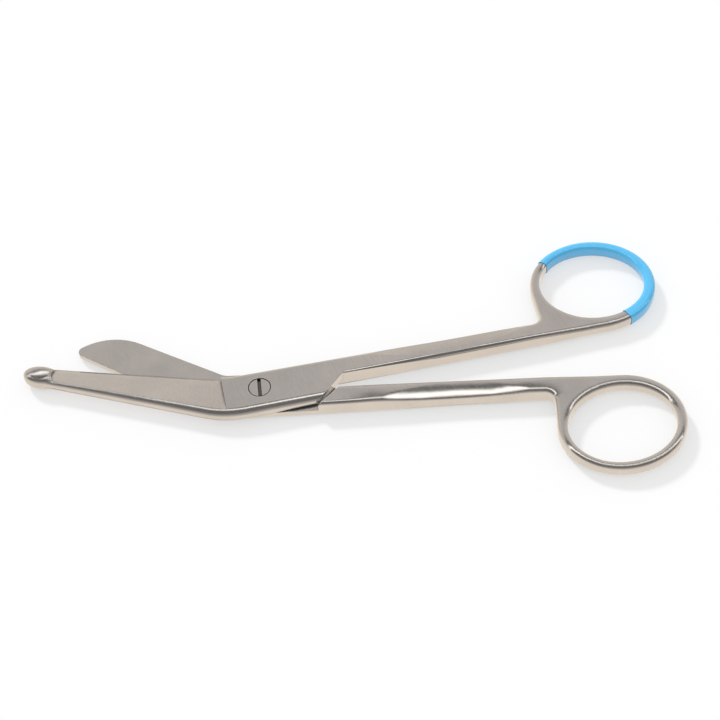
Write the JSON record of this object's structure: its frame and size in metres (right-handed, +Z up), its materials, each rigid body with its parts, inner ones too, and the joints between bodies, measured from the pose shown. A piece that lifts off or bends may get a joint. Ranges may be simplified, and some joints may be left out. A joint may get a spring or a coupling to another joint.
{
  "type": "bandage scissors",
  "caption": "Angled scissors with a blunt guarded lower blade for cutting bandages on the body, lapped joint with a slotted pivot screw, and one colour-coated finger ring.",
  "frame": {"origin": "on the pivot axis, at the plane that the scissors lie on", "axes": "+X midway between the handles, from the pivot towards the finger rings; +Y towards the coated ring of the guard half; +Z up, along the pivot axis from the screw's end to its slotted head"},
  "size_m": [0.1802, 0.0808, 0.0052],
  "materials": {
    "satin_steel": "satin, ground along the blades",
    "screw_steel": "satin, turned",
    "blue_coat": "smooth semi-gloss"
  },
  "bodies": {
    "plain_side": {"plain_half": "satin_steel", "pivot_screw": "screw_steel"},
    "guard_side": {"guard_half": "satin_steel", "ring_coat": "blue_coat"}
  },
  "joints": [
    {"name": "pivot", "type": "hinge", "parent": "plain_side", "child": "guard_side", "pos_m": [0, 0, 0], "axis": [0, 0, 1], "range_deg": [-8, 50]}
  ]
}
